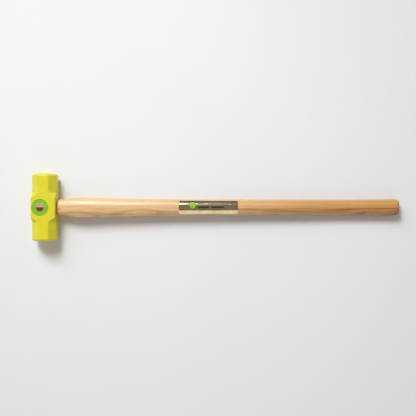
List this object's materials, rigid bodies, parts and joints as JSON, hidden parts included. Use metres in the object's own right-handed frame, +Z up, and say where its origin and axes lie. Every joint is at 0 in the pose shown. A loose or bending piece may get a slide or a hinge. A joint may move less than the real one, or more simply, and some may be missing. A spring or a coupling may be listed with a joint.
{
  "type": "sledgehammer",
  "caption": "Two-handed sledgehammer with a painted double-faced octagonal steel head wedged on a straight oval wooden handle.",
  "frame": {"origin": "centre of the head's lower cheek face, the flat that the head lies on", "axes": "+X along the handle from the head to the butt, +Y along the head towards striking face a, +Z up through the cheeks"},
  "size_m": [0.9139, 0.169, 0.0609],
  "materials": {
    "head_paint": "bright yellow-green enamel, satin, over forged steel",
    "handle_wood": "clear lacquered straight-grained hardwood, ash or hickory",
    "wedge_wood": "bare hardwood, sawn flush",
    "wedge_steel": "plain mild steel with barbed sides, dull",
    "badge_vinyl": "printed vinyl sticker, satin green",
    "label_foil": "printed metallised foil sticker, dull gold"
  },
  "bodies": {
    "root": {"head": "head_paint", "handle": "handle_wood", "wood_wedge": "wedge_wood", "steel_wedge_1": "wedge_steel", "steel_wedge_2": "wedge_steel", "head_badge": "badge_vinyl", "handle_label": "label_foil"}
  },
  "joints": []
}
